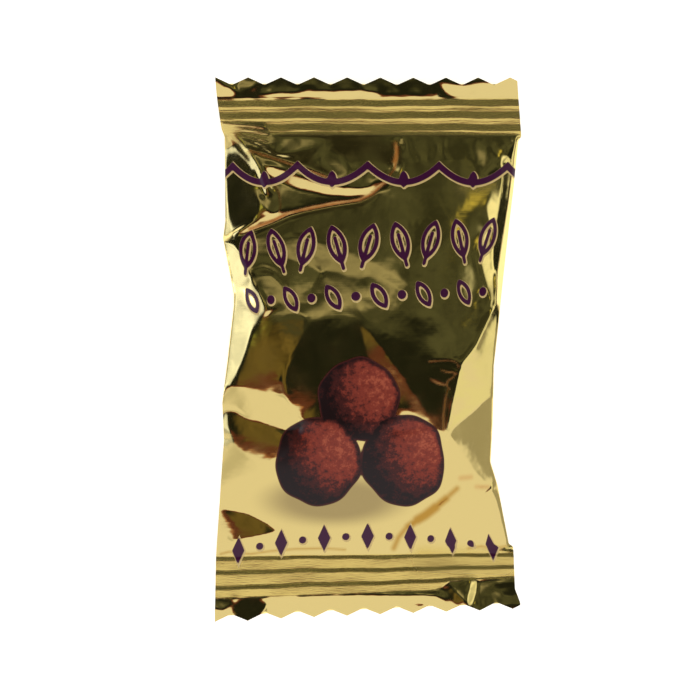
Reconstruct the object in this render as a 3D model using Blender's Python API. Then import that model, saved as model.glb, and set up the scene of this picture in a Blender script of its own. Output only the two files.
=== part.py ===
"""A chocolate truffle sealed in a gold film flow wrap, lying on its back with the printed side up.

The wrap is one tube of metallised film: pinched flat and crimped at both ends, cut there with a
zigzag knife, and closed along its back by a fin seal that is folded over to one side. The truffle
inside can't be seen, so pack and contents are one solid.

+Z is up, +Y runs to the end that is at the top of the print, and the origin is in the middle of
the pack, on the surface that it lies on. Sizes are in metres.
"""

import bmesh
import bpy
import numpy as np

MM = 0.001

# Overall size of the flat film tube
HALF_WIDTH = 20.4 * MM
HALF_LENGTH = 35.3 * MM
FILM_PAIR = 0.34 * MM  # both films of a seal, a little thicker than real so that it prints and packs

# Zigzag knife
TOOTH_PITCH = 4.42 * MM
TOOTH_HEIGHT = 1.0 * MM
COLUMNS_PER_TOOTH = 4

# Crimped seals: where the ribs run, measured along the middle of the pack
TOP_RIBS = (28.1 * MM, 33.0 * MM)
BOTTOM_RIBS = (-32.9 * MM, -27.6 * MM)
RIBS = 3  # across each seal
RIB_HEIGHT = 0.22 * MM
SEAL_HEIGHT = 5.6 * MM  # of the seals above the table

# How far each row of film leans, as a rise along Y for each metre of X: the knives cut a little askew
LEAN_AT = MM * np.array([-35.3, -33.0, -31.5, -30.0, -28.0, -20.0, 10.0, 20.0, 28.2, 33.0, 35.3])
LEAN = np.array([0.046, 0.036, 0.033, 0.018, 0.012, 0.004, 0.0, 0.0, 0.002, 0.008, 0.0])

# Outline seen from above: where the film's side creases lie at each place along Y
LEFT_AT = MM * np.array(
    [-35.3, -27.5, -18.5, -12.1, -7.4, -2.5, 5.5, 7.1, 14.5, 16.7, 28.0, 29.0, 32.5, 35.3])
LEFT_X = -MM * np.array(
    [20.4, 20.2, 19.5, 19.0, 19.2, 18.6, 17.7, 17.7, 19.2, 18.9, 19.0, 19.4, 19.9, 20.2])
RIGHT_AT = MM * np.array(
    [-35.3, -33.0, -26.9, -26.5, -18.5, -15.3, -10.5, -2.5, 5.5, 13.5, 21.5, 27.4, 28.0, 35.3])
RIGHT_X = MM * np.array(
    [20.4, 19.7, 19.5, 18.9, 17.3, 16.3, 16.5, 16.6, 17.5, 18.5, 19.5, 20.1, 20.5, 19.9])

# Height of the middle of the front and of the back along Y
CREST_AT = MM * np.array([-27.6, -25.0, -20.0, -15.0, -10.0, -5.0, 0.0, 8.0, 16.0, 24.0, 28.6])
CREST = MM * np.array([5.75, 7.6, 10.5, 12.6, 13.7, 14.0, 13.7, 12.4, 10.5, 7.8, 5.75])
KEEL_AT = MM * np.array([-27.6, -24.0, -20.0, -16.0, -12.0, 0.0, 8.0, 16.0, 24.0, 28.6])
KEEL = MM * np.array([5.45, 3.9, 2.0, 0.4, -0.5, -0.8, -0.4, 1.2, 3.9, 5.45])
FRONT_POWER = 2.6  # of the front's section, 1 - share^n
BACK_ROUNDNESS = 2.8  # exponent of the back's rounded section: 2 is an ellipse

# How far the side creases stand above the seals along Y
LIFT_AT = MM * np.array([-27.6, -22.0, -16.0, -10.0, -4.0, 2.0, 8.0, 16.0, 24.0, 28.6])
LEFT_LIFT = MM * np.array([0.0, 1.4, 2.8, 3.4, 3.3, 2.6, 1.5, 0.6, 0.1, 0.0])
RIGHT_LIFT = MM * np.array([0.0, 1.2, 3.0, 4.0, 4.2, 3.2, 1.7, 0.6, 0.1, 0.0])

# Fin seal along the back: a folded-over flap
FIN_FOLD = 2.9 * MM
FIN_EDGE = 10.3 * MM
FIN_THICKNESS = 0.35 * MM
FIN_STEP = 0.12 * MM  # width of the flap's edge in the mesh
FIN_SHOWS = 0.12 * MM  # how far the flap presses through to the front of the seals

# Waves of the unsealed fringe beyond the ribs
FRINGE_WAVE = 0.35 * MM
FRINGE_WAVE_PITCH = 26.0 * MM

# Facets pressed in or out of the front film. Each is a pyramid over a polygon:
# its deepest point, its depth (below zero where it stands out) and its corners, all in millimetres.
FACETS = (
    ("upper_left_fold", (-6.0, 20.3), 0.9,
     ((-14.0, 24.8), (-3.2, 21.7), (3.0, 24.3), (-1.2, 19.2), (-9.0, 18.0), (-16.5, 15.2))),
    ("left_shoulder", (-15.8, 19.0), -0.7, ((-18.6, 24.5), (-12.0, 24.0), (-11.5, 17.8), (-17.5, 15.0))),
    ("left_waist", (-14.8, 9.0), 0.9,
     ((-18.6, 14.0), (-9.5, 13.0), (-5.0, 9.5), (-12.0, 5.0), (-17.4, 6.5))),
    ("lower_left_dent", (-13.2, -9.6), 1.0,
     ((-18.8, -5.6), (-11.0, -6.5), (-8.6, -9.6), (-13.5, -15.2), (-17.8, -12.8))),
    ("right_facet", (15.2, -9.5), 1.1,
     ((16.0, 1.8), (11.0, -3.2), (10.0, -11.6), (16.3, -18.0), (16.6, -8.0))),
    ("corner_triangle", (-17.0, -24.0), 0.45, ((-19.4, -21.4), (-12.0, -24.2), (-18.2, -26.0))),
    ("lower_right_crease", (8.0, -22.6), 0.6, ((13.0, -18.4), (12.2, -20.0), (3.2, -27.0), (4.0, -25.0))),
)

# Mesh rows along the body
BODY_ROWS = 34
ROWS_PER_RIB = 4


def film_material():
    """Gold metallised film."""
    material = bpy.data.materials.new("gold_film")
    material.use_nodes = True
    shader = material.node_tree.nodes["Principled BSDF"]
    shader.inputs["Base Color"].default_value = (0.93, 0.72, 0.28, 1.0)
    shader.inputs["Metallic"].default_value = 1.0
    shader.inputs["Roughness"].default_value = 0.18
    return material


def smooth_step(value, low, high):
    """0 at low, 1 at high, and an S-shaped rise between."""
    t = np.clip((value - low) / (high - low), 0.0, 1.0)
    return t * t * (3.0 - 2.0 * t)


def smooth_curve(at, places, values):
    """The values joined by cubic pieces that don't overshoot."""
    steps = np.diff(values) / np.diff(places)
    product = steps[:-1] * steps[1:]
    total = steps[:-1] + steps[1:]
    inner = np.where(product > 0, 2.0 * product / np.where(total == 0, 1.0, total), 0.0)
    slopes = np.concatenate([steps[:1], inner, steps[-1:]])
    at = np.clip(at, places[0], places[-1])
    i = np.clip(np.searchsorted(places, at) - 1, 0, len(places) - 2)
    span = places[i + 1] - places[i]
    t = (at - places[i]) / span
    from_start = (1.0 + 2.0 * t) * (1.0 - t) ** 2 * values[i] + t * (1.0 - t) ** 2 * span * slopes[i]
    from_end = t * t * (3.0 - 2.0 * t) * values[i + 1] + t * t * (t - 1.0) * span * slopes[i + 1]
    return from_start + from_end


def column_places():
    """Where the film's mesh columns lie across the flat tube, from the left crease to the right."""
    step = TOOTH_PITCH / COLUMNS_PER_TOOTH
    regular = np.arange(-HALF_WIDTH, HALF_WIDTH, step)
    near_sides = np.array([-HALF_WIDTH + 0.3 * step, HALF_WIDTH - 0.5 * step, HALF_WIDTH])
    fin = np.array([FIN_FOLD - FIN_STEP, FIN_FOLD, FIN_EDGE, FIN_EDGE + FIN_STEP])
    places = np.sort(np.concatenate([regular, near_sides, fin]))
    return places[np.concatenate([[True], np.diff(places) > 0.5 * FIN_STEP])]


def row_places():
    """Where the mesh rows lie along the middle of the pack, from the bottom teeth to the top ones."""
    spread = np.linspace(-1.0, 1.0, BODY_ROWS + 2)[1:-1]
    eased = np.sin(0.5 * np.pi * spread * 0.85) / np.sin(0.5 * np.pi * 0.85)
    low, high = BOTTOM_RIBS[1], TOP_RIBS[0]
    body = 0.5 * (low + high) + 0.5 * (high - low) * eased
    fringe = np.array([-HALF_LENGTH, -HALF_LENGTH + 1.2 * MM, -HALF_LENGTH + 2.3 * MM])
    bottom, top = [np.linspace(*seal, RIBS * ROWS_PER_RIB + 1) for seal in (BOTTOM_RIBS, TOP_RIBS)]
    return np.concatenate([fringe, bottom, body, top, -fringe[::-1]])


def zigzag(across):
    """The knife's cut: 1 at each tooth's tip and -1 between teeth."""
    phase = (across + HALF_WIDTH) / TOOTH_PITCH
    return 4.0 * np.abs(phase - np.floor(phase) - 0.5) - 1.0


def film_plan(across, along):
    """X and Y of the film seen from above. The sides pull in where the pack is full."""
    left = np.interp(along, LEFT_AT, LEFT_X) + HALF_WIDTH
    right = np.interp(along, RIGHT_AT, RIGHT_X) - HALF_WIDTH
    x = across + (across / HALF_WIDTH) ** 2 * np.where(across < 0, left, right)
    cut = smooth_step(np.abs(along), HALF_LENGTH - 1.3 * MM, HALF_LENGTH)
    teeth = 0.5 * TOOTH_HEIGHT * zigzag(across) * cut
    y = along + np.interp(along, LEAN_AT, LEAN) * x + teeth * np.sign(along)
    return x, y


def rib_wave(along):
    """Height of the crimp's ribs: an even wave that starts and ends in a valley."""
    wave = np.zeros_like(along)
    for low, high in (BOTTOM_RIBS, TOP_RIBS):
        inside = (along >= low) & (along <= high)
        ridge = np.cos(2.0 * np.pi * RIBS * (along - low) / (high - low))
        wave = np.where(inside, -0.5 * RIB_HEIGHT * ridge, wave)
    return wave


def middle_height(across, along):
    """Height of the seals, and on the body of the nearer side crease."""
    fringe = smooth_step(np.abs(along), TOP_RIBS[1], HALF_LENGTH)
    wave = np.sin(2.0 * np.pi * across / FRINGE_WAVE_PITCH + np.where(along > 0, 0.6, 2.4))
    left, right = smooth_curve(along, LIFT_AT, LEFT_LIFT), smooth_curve(along, LIFT_AT, RIGHT_LIFT)
    return SEAL_HEIGHT + np.where(across < 0, left, right) + rib_wave(along) + FRINGE_WAVE * fringe * wave


def on_fin(across):
    """Whether a place across the tube is under the folded-over flap of the fin seal."""
    return (across >= FIN_FOLD) & (across <= FIN_EDGE)


def facet_relief(x, y, corners, deepest, depth):
    """A pyramid over a polygon: full depth at its deepest point and nothing at its edges."""
    share = np.full(x.shape, 1.0)
    for (ax, ay), (bx, by) in zip(corners, corners[1:] + corners[:1]):
        normal_x, normal_y = ay - by, bx - ax
        here = (x / MM - ax) * normal_x + (y / MM - ay) * normal_y
        there = (deepest[0] - ax) * normal_x + (deepest[1] - ay) * normal_y
        share = np.minimum(share, here / there)
    return depth * MM * np.clip(share, 0.0, 1.0)


def front_height(across, along, x, y):
    """Height of the printed side, from the crest line, the rounded section and the facets."""
    edge = middle_height(across, along) + 0.5 * FILM_PAIR
    section = 1.0 - np.clip(np.abs(across) / HALF_WIDTH, 0.0, 1.0) ** FRONT_POWER
    in_seal = (along <= BOTTOM_RIBS[1]) | (along >= TOP_RIBS[0])
    rise = np.clip(smooth_curve(along, CREST_AT, CREST) - edge, 0.0, None) * ~in_seal
    height = edge + rise * section + FIN_SHOWS * on_fin(across) * in_seal
    for _, deepest, depth, corners in FACETS:
        height = height - facet_relief(x, y, corners, deepest, depth)
    return height


def back_height(across, along):
    """Height of the back. It is flat where it rests, and the fin seal's flap lies on it."""
    edge = middle_height(across, along) - 0.5 * FILM_PAIR
    across_share = np.clip(np.abs(across) / HALF_WIDTH, 0.0, 1.0)
    section = (1.0 - across_share**BACK_ROUNDNESS) ** (1.0 / BACK_ROUNDNESS)
    in_seal = (along <= BOTTOM_RIBS[1]) | (along >= TOP_RIBS[0])
    drop = np.clip(edge - smooth_curve(along, KEEL_AT, KEEL), 0.0, None) * ~in_seal
    return np.clip(edge - drop * section - FIN_THICKNESS * on_fin(across), 0.0, None)


def film_rings():
    """One closed ring of points round the tube for each row: the front from left to right, then the back."""
    across, along = np.meshgrid(column_places(), row_places())
    x, y = film_plan(across, along)
    back = back_height(across, along)
    front = np.maximum(front_height(across, along, x, y), back + FILM_PAIR)
    front_points = np.stack([x, y, front], axis=-1)
    back_points = np.stack([x, y, back], axis=-1)[:, ::-1]
    return np.concatenate([front_points, back_points], axis=1)


def build_pack(name, material):
    """Skins the rings into one closed solid, with the cut film's edge closing each end."""
    rings = film_rings()
    mesh = bmesh.new()
    loops = [[mesh.verts.new(point) for point in ring] for ring in rings]
    around = len(loops[0])
    for lower, upper in zip(loops, loops[1:]):
        for i in range(around):
            j = (i + 1) % around
            mesh.faces.new((lower[i], lower[j], upper[j], upper[i]))
    for end in (loops[0][::-1], loops[-1]):
        for i in range(around // 2 - 1):
            mesh.faces.new((end[i], end[i + 1], end[around - 2 - i], end[around - 1 - i]))
    bmesh.ops.recalc_face_normals(mesh, faces=mesh.faces)
    bmesh.ops.triangulate(mesh, faces=mesh.faces)
    data = bpy.data.meshes.new(name)
    mesh.to_mesh(data)
    mesh.free()
    data.shade_smooth()
    data.set_sharp_from_angle(angle=np.radians(35.0))
    data.materials.append(material)
    pack = bpy.data.objects.new(name, data)
    bpy.context.scene.collection.objects.link(pack)
    return pack


def main():
    for old in list(bpy.data.objects):
        bpy.data.objects.remove(old)
    build_pack("truffle_wrap", film_material())


main()
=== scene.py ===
# %% [markdown]
# # A chocolate truffle in its gold flow wrap
# The real pack is one tube of metallised film about 0.04 mm thick. A machine crimps both ends flat, cuts
# them with a zigzag knife and folds the seam that runs down the back. What the eye reads is hardly the
# film itself but the room that it mirrors, bent by every fold. So the model needs two things to be right:
# the tilt of each fold, and a studio for it to mirror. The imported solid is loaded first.

import bpy
import numpy as np
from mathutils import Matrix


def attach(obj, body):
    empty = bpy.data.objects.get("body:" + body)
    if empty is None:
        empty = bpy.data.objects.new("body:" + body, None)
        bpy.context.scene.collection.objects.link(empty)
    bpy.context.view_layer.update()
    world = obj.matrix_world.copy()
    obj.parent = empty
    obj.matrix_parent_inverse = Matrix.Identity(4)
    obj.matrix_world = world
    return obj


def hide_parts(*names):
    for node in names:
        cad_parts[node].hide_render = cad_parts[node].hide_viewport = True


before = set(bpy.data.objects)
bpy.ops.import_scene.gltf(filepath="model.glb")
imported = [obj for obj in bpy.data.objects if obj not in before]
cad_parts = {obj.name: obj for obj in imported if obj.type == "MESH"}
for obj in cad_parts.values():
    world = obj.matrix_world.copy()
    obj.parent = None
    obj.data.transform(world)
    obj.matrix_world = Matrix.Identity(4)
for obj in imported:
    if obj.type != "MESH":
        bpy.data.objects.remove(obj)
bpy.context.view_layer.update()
MM = 0.001

# %% [markdown]
# ## Small tools
# Three helpers are used all through: an S-shaped step, a curve through given values that doesn't
# overshoot, and one that turns an sRGB hex colour into the linear numbers that shaders count in.

# %% Steps, curves and colours
def smooth_step(value, low, high):
    """0 at low, 1 at high, and the S-shaped 3t^2 - 2t^3 between."""
    t = np.clip((value - low) / (high - low), 0.0, 1.0)
    return t * t * (3.0 - 2.0 * t)


def smooth_curve(at, places, values):
    """Cubic pieces through the values, whose slope at each is the harmonic mean of those beside it."""
    steps = np.diff(values) / np.diff(places)
    product = steps[:-1] * steps[1:]
    total = steps[:-1] + steps[1:]
    inner = np.where(product > 0, 2.0 * product / np.where(total == 0, 1.0, total), 0.0)
    slopes = np.concatenate([steps[:1], inner, steps[-1:]])
    at = np.clip(at, places[0], places[-1])
    i = np.clip(np.searchsorted(places, at) - 1, 0, len(places) - 2)
    span = places[i + 1] - places[i]
    t = (at - places[i]) / span
    from_start = (1 + 2 * t) * (1 - t) ** 2 * values[i] + t * (1 - t) ** 2 * span * slopes[i]
    from_end = t * t * (3 - 2 * t) * values[i + 1] + t * t * (t - 1) * span * slopes[i + 1]
    return from_start + from_end


def linear(hex_colour):
    """(r, g, b, 1) in linear light from an sRGB colour such as 'F9E194'."""
    parts = [int(hex_colour[i:i + 2], 16) / 255.0 for i in (0, 2, 4)]
    return tuple(c / 12.92 if c <= 0.04045 else ((c + 0.055) / 1.055) ** 2.4 for c in parts) + (1.0,)


print("middle grey, 808080, in linear light:", round(linear("808080")[0], 3))

# %% [markdown]
# ## The flat tube of film
# A place on the film has two numbers in millimetres: across, from the left side crease to the right, and
# along, from the bottom teeth to the top. Seen from above, the sides pull in where the pack is full, and
# each knife has cut a little askew. The tables follow the outline of the real pack.

# %% Outline of the film
HALF_WIDTH, HALF_LENGTH = 20.4, 35.3
FILM_PAIR = 0.17  # both films of a seal, with the air between them
TOOTH_PITCH, TOOTH_HEIGHT = 4.42, 1.0
TOOTH_ROOM = 1.3  # over this last stretch the rows change from straight to zigzag
TOP_RIBS, BOTTOM_RIBS = (28.1, 33.0), (-32.9, -27.6)
SEAL_HEIGHT = 5.6  # of the seals above the table
OUTSIDE = 21.5  # a place across that is past both side creases

LEAN_AT = np.array([-35.6, -33, -31.5, -30, -28, -20, 10, 20, 28.2, 33, 36])
LEAN = np.array([0.046, 0.036, 0.033, 0.018, 0.012, 0.004, 0, 0, 0.002, 0.008, 0])
LEFT_AT = np.array([-36.1, -27.5, -18.5, -12.1, -7.4, -2.5, 5.5, 7.1, 14.5, 16.7, 28, 29, 32.5, 35.2])
LEFT_X = -np.array([20.4, 20.2, 19.5, 19, 19.2, 18.6, 17.7, 17.7, 19.2, 18.9, 19, 19.4, 19.9, 20.2])
RIGHT_AT = np.array([-35, -33, -26.9, -26.5, -18.5, -15.3, -10.5, -2.5, 5.5, 13.5, 21.5, 27.4, 28, 35.6])
RIGHT_X = np.array([20.4, 19.7, 19.5, 18.9, 17.3, 16.3, 16.5, 16.6, 17.5, 18.5, 19.5, 20.1, 20.5, 19.9])


def side_shift(across, along):
    """How far the nearer side crease stands in from the flat tube's."""
    left = np.interp(along, LEFT_AT, LEFT_X) + HALF_WIDTH
    right = np.interp(along, RIGHT_AT, RIGHT_X) - HALF_WIDTH
    return np.where(across < 0, left, right)


def zigzag(across):
    """The knife's cut: 1 at each tooth's tip and -1 between teeth."""
    phase = (across + HALF_WIDTH) / TOOTH_PITCH
    return 4.0 * np.abs(phase - np.floor(phase) - 0.5) - 1.0


def film_plan(across, along):
    """x and y seen from above: the side shift grows as the square, and rows lean and end in teeth."""
    x = across + (across / HALF_WIDTH) ** 2 * side_shift(across, along)
    near_end = smooth_step(np.abs(along), HALF_LENGTH - TOOTH_ROOM, HALF_LENGTH)
    teeth = 0.5 * TOOTH_HEIGHT * zigzag(across) * near_end
    return x, along + np.interp(along, LEAN_AT, LEAN) * x + teeth * np.sign(along)


def film_place(x, y):
    """The other way round: across and along for a place seen from above, by Newton's steps."""
    along = y.copy()
    for _ in range(3):
        along = y - np.interp(along, LEAN_AT, LEAN) * x
    across, shift = x.copy(), side_shift(x, along)
    for _ in range(12):
        miss = across + (across / HALF_WIDTH) ** 2 * shift - x
        steepness = 1 + 2 * across / HALF_WIDTH**2 * shift
        across = np.clip(across - miss / np.maximum(steepness, 0.15), -OUTSIDE, OUTSIDE)
    return across, along


waist = 2 * HALF_WIDTH + side_shift(HALF_WIDTH, 0.0) - side_shift(-HALF_WIDTH, 0.0)
print("tube:", 2 * HALF_WIDTH, "mm wide where it is flat and", waist.round(1), "mm in the middle")

# %% [markdown]
# ## Seals and the full body
# The crimping jaws press three ribs into each seal. Between the seals the film is pushed out by the
# truffle and the air. The crest line says how high the front's middle stands and the lifts how high the
# side creases do. The back is fuller at the sides and flat where it lies, with the fin seal folded on it.

# %% Heights of the seals, the front and the back
RIBS = 3
RIB_SHAPES = (  # which seal, height, and where along one rib its knees are and how high
    (TOP_RIBS, 0.18, (0.0, 0.19, 0.27, 0.5, 1.0), (0.0, 0.36, 0.36, 1.0, 0.0)),
    (BOTTOM_RIBS, 0.2, (0.0, 0.79, 1.0), (0.0, 1.0, 0.0)),
)
RIB_ROUNDING, RIB_START = (-0.03, -0.01, 0.01, 0.03), 0.09  # shares of one rib
TOP_MISSED, BOTTOM_MISSED = (1.7, 13.2, 14.4), (1.3, 9.0, 11.5)  # how deep, and where it begins and is full
CREST_AT = np.array([-27.6, -25, -20, -15, -10, -5, 0, 8, 16, 24, 28.6])
CREST = np.array([5.75, 7.6, 10.5, 12.6, 13.7, 14, 13.7, 12.4, 10.5, 7.8, 5.75])
KEEL_AT = np.array([-27.6, -24, -20, -16, -12, 0, 8, 16, 24, 28.6])
KEEL = np.array([5.45, 3.9, 2, 0.4, -0.5, -0.8, -0.4, 1.2, 3.9, 5.45])  # below 0 the table presses it flat
LIFT_AT = np.array([-27.6, -22, -16, -10, -4, 2, 8, 16, 24, 28.6])
LEFT_LIFT = np.array([0, 1.4, 2.8, 3.4, 3.3, 2.6, 1.5, 0.6, 0.1, 0])
RIGHT_LIFT = np.array([0, 1.2, 3, 4, 4.2, 3.2, 1.7, 0.6, 0.1, 0])
FRONT_POWER, BACK_ROUNDNESS = 2.6, 2.8
FIN_FOLD, FIN_EDGE, FIN_THICKNESS, FIN_STEP = 2.9, 10.3, 0.35, 0.12


def crimped(across, along, low, high):
    """1 where the jaws have pressed. They missed the fan at the upper left and a part at the lower right."""
    side, (depth, start, full) = (-across, TOP_MISSED) if low > 0 else (across, BOTTOM_MISSED)
    missed = depth * smooth_step(side, start, full)
    return smooth_step(along - missed, low - 0.05, low + 0.15) * smooth_step(high + 0.05 - along, 0.0, 0.2)


def rib_wave(across, along):
    """Each rib is straight stretches between its knees, rounded by a mean. The seal wanders a little, in
    sines of 18 and 7 mm across."""
    wander = 0.05 * np.sin(across / 2.9 + 1.0) + 0.035 * np.sin(across / 1.1)
    firmness = 1 + 0.22 * np.sin(across / 3.7 + along) + 0.12 * np.sin(across / 1.3 - along)
    wave = np.zeros_like(along)
    for (low, high), height, places, rise in RIB_SHAPES:
        turn = RIBS * (along + wander - low) / (high - low) + RIB_START
        profile = np.mean([np.interp((turn + d) % 1.0, places, rise) for d in RIB_ROUNDING], axis=0)
        wave = wave + height * firmness * crimped(across, along, low, high) * (profile - 0.5)
    return wave


def oval(across, roundness):
    """1 in the middle and 0 at the side creases: (1 - share^n)^(1/n)."""
    share = np.clip(np.abs(across) / HALF_WIDTH, 0.0, 1.0)
    return (1.0 - share**roundness) ** (1.0 / roundness)


def crease_height(across, along):
    """Height of the nearer side crease: that of the seals, plus its lift where the pack is full."""
    left, right = smooth_curve(along, LIFT_AT, LEFT_LIFT), smooth_curve(along, LIFT_AT, RIGHT_LIFT)
    return SEAL_HEIGHT + np.where(across < 0, left, right)


def front_height(across, along):
    """Side crease, ribs and the rise to the crest line times 1 - share^n."""
    crease = crease_height(across, along) + 0.5 * FILM_PAIR
    rise = np.clip(smooth_curve(along, CREST_AT, CREST) - crease, 0.0, None)
    share = np.clip(np.abs(across) / HALF_WIDTH, 0.0, 1.0)
    return crease + rib_wave(across, along) + rise * (1.0 - share**FRONT_POWER)


def back_height(across, along):
    """Side crease and ribs, less the drop to the keel line times the oval, less the fin seal."""
    crease = crease_height(across, along) - 0.5 * FILM_PAIR
    drop = np.clip(crease - smooth_curve(along, KEEL_AT, KEEL), 0.0, None)
    fin_start = smooth_step(across, FIN_FOLD - FIN_STEP, FIN_FOLD)
    fin = fin_start * (1 - smooth_step(across, FIN_EDGE, FIN_EDGE + FIN_STEP))
    return crease + rib_wave(across, along) - drop * oval(across, BACK_ROUNDNESS) - FIN_THICKNESS * fin


print("crest:", CREST.max(), "mm above the table, before the folds are pressed in")

# %% [markdown]
# ## Folds
# Crumpled film is made of facets: each is nearly flat and mirrors one part of the room, and the creases
# between them are sharp. Modelling them by hand would mean pushing vertices about for hours. Here each
# fold is written down as what it is to the eye: a polygon seen from above, and the tilt it has, as the
# fall of its surface to the right and up the pack. The heights are then the ones whose slopes fit
# all these tilts best, a least-squares problem on a fine grid, solved by conjugate gradients.

# %% Tilts that the folds have
TILT = {  # fall to the right and fall up the pack, or None where a fold keeps the body's own
    "level": (0, 0.015), "level_low": (0, 0.075), "little_away": (0.02, 0.12), "away": (0, 0.26),
    "near": (-0.05, -0.3), "near_low": (-0.05, -0.38), "near_left": (-0.67, 0.01), "near_right": (0.5, -0.2),
    "right": (0.74, 0.2), "right_low": (0.72, -0.36), "left": (-0.46, 0.02), "edge": (1.3, 0),
    "window": (0.48, 0.22), "side": (0.52, 0.2), "sheen": (-0.14, 0.185), "warm": (-0.24, 0.005),
    "warm_low": (-0.18, 0.06), "rim": (0, -0.17), "rim_side": (-0.1, -0.11), "streak": (-0.12, -0.085),
    "low_streak": (-0.12, -0.062), "lamp": (-0.83, -0.12), "window_high": (0.48, 0.42), "swirl": (0.12, 0.28),
    "glow": (0.26, 0.27), "glow_left": (-0.3, 0.095), "double": (-0.7, -0.14), "flank": (0.03, -0.05),
    "wedge": (-0.16, 0.15), "rim_upper": (-0.066, -0.19), "rim_lower": (0.077, -0.19),
    "dented": (-0.27, -0.005), "crest": (0, 0.04), "groove_dark": (-0.276, -0.062), "nick": (-0.36, 0.11),
    "body": None,
}
print(len(TILT), "tilts")

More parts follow.
